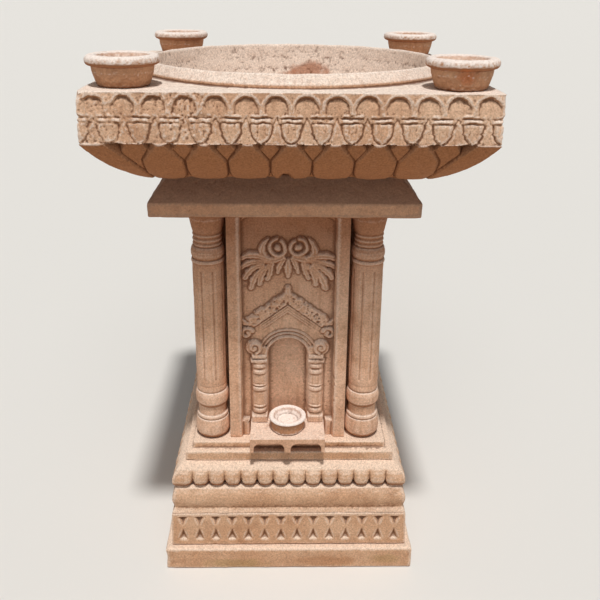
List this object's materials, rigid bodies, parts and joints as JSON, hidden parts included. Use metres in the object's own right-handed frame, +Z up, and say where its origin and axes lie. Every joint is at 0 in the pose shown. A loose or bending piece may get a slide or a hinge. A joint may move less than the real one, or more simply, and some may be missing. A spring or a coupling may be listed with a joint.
{
  "type": "tulsi vrindavan planter",
  "caption": "Carved sandstone planter for a holy basil plant: moulded square plinth, columned shaft with niche panels, lotus tray with a round bowl, and lift-off oil lamps.",
  "frame": {"origin": "middle of the plinth's underside, on the ground", "axes": "+Z up along the planter's middle; -Y towards the lamp shelf's side; +X to the right of someone who faces the lamp shelf"},
  "size_m": [0.6135, 0.6107, 0.9505],
  "materials": {
    "base_stone": "chiselled and weathered sandstone",
    "shaft_stone": "carved sandstone",
    "abacus_stone": "dressed sandstone",
    "tray_stone": "carved, porous sandstone",
    "lamp_stone": "turned sandstone",
    "dowel_steel": "plain bar"
  },
  "bodies": {
    "root": {"plinth_slab": "base_stone", "diamond_course": "base_stone", "round_course": "base_stone", "gadroon_course": "base_stone", "stepped_course": "base_stone", "shaft_core": "shaft_stone", "panel_front": "shaft_stone", "panel_right": "shaft_stone", "panel_back": "shaft_stone", "panel_left": "shaft_stone", "column_front_left": "shaft_stone", "column_front_right": "shaft_stone", "column_back_left": "shaft_stone", "column_back_right": "shaft_stone", "lamp_shelf": "shaft_stone", "abacus": "abacus_stone", "lotus_tray": "tray_stone", "joint_dowels": "dowel_steel"},
    "lamp_front_left_body": {"lamp_front_left": "lamp_stone"},
    "lamp_front_right_body": {"lamp_front_right": "lamp_stone"},
    "lamp_back_left_body": {"lamp_back_left": "lamp_stone"},
    "lamp_back_right_body": {"lamp_back_right": "lamp_stone"},
    "lamp_shelf_front_body": {"lamp_shelf_front": "lamp_stone"}
  },
  "joints": [
    {"name": "lift_lamp_front_left", "type": "slide", "parent": "root", "child": "lamp_front_left_body", "axis": [0, 0, 1], "range_m": [0, 0.12]},
    {"name": "lift_lamp_front_right", "type": "slide", "parent": "root", "child": "lamp_front_right_body", "axis": [0, 0, 1], "range_m": [0, 0.12]},
    {"name": "lift_lamp_back_left", "type": "slide", "parent": "root", "child": "lamp_back_left_body", "axis": [0, 0, 1], "range_m": [0, 0.12]},
    {"name": "lift_lamp_back_right", "type": "slide", "parent": "root", "child": "lamp_back_right_body", "axis": [0, 0, 1], "range_m": [0, 0.12]},
    {"name": "lift_lamp_shelf_front", "type": "slide", "parent": "root", "child": "lamp_shelf_front_body", "axis": [0, -0.6, 0.8], "range_m": [0, 0.12]}
  ]
}
